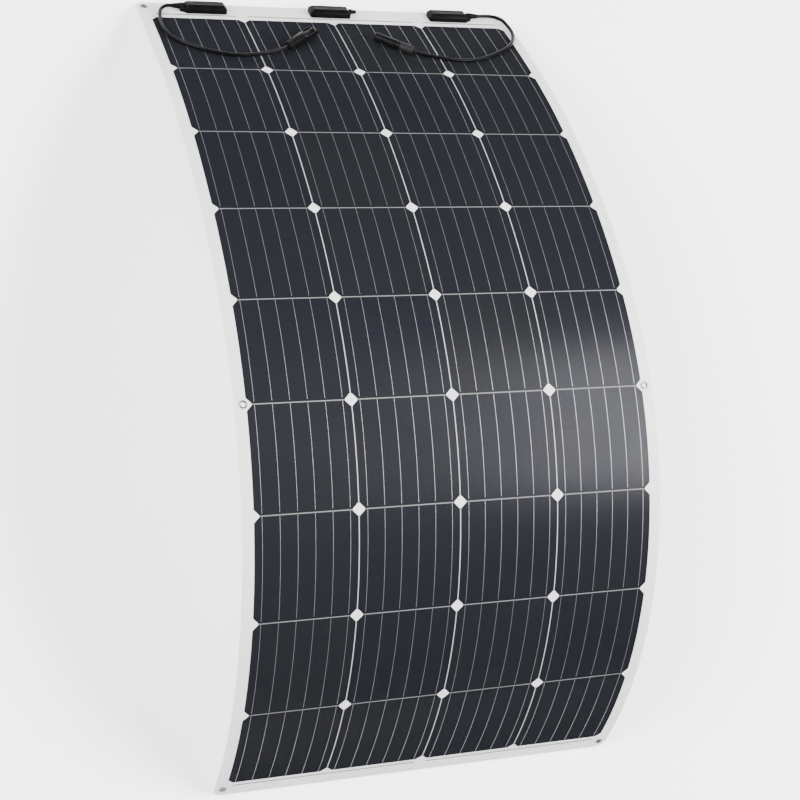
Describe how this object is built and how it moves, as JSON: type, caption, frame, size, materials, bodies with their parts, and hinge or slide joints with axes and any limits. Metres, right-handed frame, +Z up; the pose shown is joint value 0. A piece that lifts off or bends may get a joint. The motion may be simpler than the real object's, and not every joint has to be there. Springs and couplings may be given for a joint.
{
  "type": "flexible solar sheet",
  "caption": "Thin bendable solar sheet in rows of square silicon cells under a clear film, bent as a low arch, with eyelets, junction boxes and two leads with connectors.",
  "frame": {"origin": "on the floor, under the middle of the arch, where the bounding box's bottom face has its centre", "axes": "+X across the sheet, +Y along the arch towards the junction-box end, +Z up out of the cell side"},
  "size_m": [0.67, 1.2994, 0.3409],
  "materials": {
    "backsheet": "white polymer laminate, fine matt texture",
    "cell": "monocrystalline silicon under film, dark blue-black with fine lines",
    "ribbon": "tinned copper, satin",
    "film": "clear fluoropolymer film with a fine matt texture",
    "bus_ribbon": "tinned copper, satin",
    "eyelet": "nickel-plated steel",
    "box_plastic": "black moulded plastic, fine spark texture",
    "diode": "moulded epoxy",
    "terminal": "tinned brass",
    "gland": "black moulded plastic",
    "cable_jacket": "black cross-linked jacket, satin",
    "plug_nut": "dark grey moulded plastic, ribbed",
    "plug_body": "black moulded plastic",
    "contact": "tinned copper alloy"
  },
  "bodies": {
    "row_1": {"backsheet_1": "backsheet", "cells_1": "cell", "ribbons_1": "ribbon", "film_1": "film", "bus_ribbons_top": "bus_ribbon", "eyelets_top": "eyelet", "left_box_base": "box_plastic", "left_box_lid": "box_plastic", "middle_box_base": "box_plastic", "middle_box_lid": "box_plastic", "right_box_base": "box_plastic", "right_box_lid": "box_plastic", "bypass_diodes": "diode", "box_terminals": "terminal", "cable_glands": "gland", "blanking_plug": "gland", "left_cable": "cable_jacket", "right_cable": "cable_jacket", "left_plug_body": "plug_body", "right_plug_body": "plug_body", "plug_contacts": "contact"},
    "row_2": {"backsheet_2": "backsheet", "cells_2": "cell", "ribbons_2": "ribbon", "film_2": "film"},
    "row_3": {"backsheet_3": "backsheet", "cells_3": "cell", "ribbons_3": "ribbon", "film_3": "film"},
    "row_4": {"backsheet_4": "backsheet", "cells_4": "cell", "ribbons_4": "ribbon", "film_4": "film"},
    "row_5": {"backsheet_5": "backsheet", "cells_5": "cell", "ribbons_5": "ribbon", "film_5": "film", "eyelets_middle": "eyelet"},
    "row_6": {"backsheet_6": "backsheet", "cells_6": "cell", "ribbons_6": "ribbon", "film_6": "film"},
    "row_7": {"backsheet_7": "backsheet", "cells_7": "cell", "ribbons_7": "ribbon", "film_7": "film"},
    "row_8": {"backsheet_8": "backsheet", "cells_8": "cell", "ribbons_8": "ribbon", "film_8": "film"},
    "row_9": {"backsheet_9": "backsheet", "cells_9": "cell", "ribbons_9": "ribbon", "film_9": "film", "bus_ribbons_bottom": "bus_ribbon", "eyelets_bottom": "eyelet"},
    "left_nut": {"left_plug_nut": "plug_nut"},
    "right_nut": {"right_plug_nut": "plug_nut"},
    "latch_a": {"latch_arm_a": "plug_body"},
    "latch_b": {"latch_arm_b": "plug_body"}
  },
  "joints": [
    {"name": "bend_1_2", "type": "hinge", "parent": "row_2", "child": "row_1", "pos_m": [0, 0.48228, 0.12747], "axis": [1, 0, 0], "range_deg": [-0.01, 5.51], "stiffness_Nm_per_rad": 500},
    {"name": "bend_2_3", "type": "hinge", "parent": "row_3", "child": "row_2", "pos_m": [0, 0.34598, 0.20964], "axis": [1, 0, 0], "range_deg": [-0.01, 6.76], "stiffness_Nm_per_rad": 500},
    {"name": "bend_3_4", "type": "hinge", "parent": "row_4", "child": "row_3", "pos_m": [0, 0.20096, 0.27523], "axis": [1, 0, 0], "range_deg": [-0.01, 7.51], "stiffness_Nm_per_rad": 500},
    {"name": "bend_4_5", "type": "hinge", "parent": "row_5", "child": "row_4", "pos_m": [0, 0.04868, 0.32131], "axis": [1, 0, 0], "range_deg": [-0.01, 10.51], "stiffness_Nm_per_rad": 500},
    {"name": "bend_5_6", "type": "hinge", "parent": "row_5", "child": "row_6", "pos_m": [0, -0.10929, 0.33885], "axis": [-1, 0, 0], "range_deg": [-0.01, 13.76], "stiffness_Nm_per_rad": 500},
    {"name": "bend_6_7", "type": "hinge", "parent": "row_6", "child": "row_7", "pos_m": [0, -0.26676, 0.31836], "axis": [-1, 0, 0], "range_deg": [-0.01, 15.26], "stiffness_Nm_per_rad": 500},
    {"name": "bend_7_8", "type": "hinge", "parent": "row_7", "child": "row_8", "pos_m": [0, -0.41326, 0.25718], "axis": [-1, 0, 0], "range_deg": [0, 15.75], "stiffness_Nm_per_rad": 500},
    {"name": "bend_8_9", "type": "hinge", "parent": "row_8", "child": "row_9", "pos_m": [0, -0.53763, 0.15855], "axis": [-1, 0, 0], "range_deg": [-0.01, 15.01], "stiffness_Nm_per_rad": 500},
    {"name": "left_nut_turn", "type": "hinge", "parent": "row_1", "child": "left_nut", "pos_m": [-0.11, 0.53615, 0.1008], "axis": [0.7314, 0.5512, -0.4016], "continuous": true},
    {"name": "right_nut_turn", "type": "hinge", "parent": "row_1", "child": "right_nut", "pos_m": [0.111, 0.5329, 0.10317], "axis": [-0.788, 0.4982, -0.3616], "continuous": true},
    {"name": "latch_a_flex", "type": "hinge", "parent": "row_1", "child": "latch_a", "pos_m": [-0.07889, 0.56844, 0.07728], "axis": [0, -0.5888, -0.8083], "range_deg": [0, 3.5], "stiffness_Nm_per_rad": 0.6},
    {"name": "latch_b_flex", "type": "hinge", "parent": "row_1", "child": "latch_b", "pos_m": [-0.06798, 0.55898, 0.08417], "axis": [0, 0.5888, 0.8083], "range_deg": [0, 3.5], "stiffness_Nm_per_rad": 0.6}
  ],
  "couplings": [
    {"joint": "bend_1_2", "follows": "bend_7_8", "ratio": 0.34921},
    {"joint": "bend_2_3", "follows": "bend_7_8", "ratio": 0.42857},
    {"joint": "bend_3_4", "follows": "bend_7_8", "ratio": 0.47619},
    {"joint": "bend_4_5", "follows": "bend_7_8", "ratio": 0.66667},
    {"joint": "bend_5_6", "follows": "bend_7_8", "ratio": 0.87302},
    {"joint": "bend_6_7", "follows": "bend_7_8", "ratio": 0.96825},
    {"joint": "bend_8_9", "follows": "bend_7_8", "ratio": 0.95238},
    {"joint": "latch_b_flex", "follows": "latch_a_flex", "ratio": 1}
  ]
}
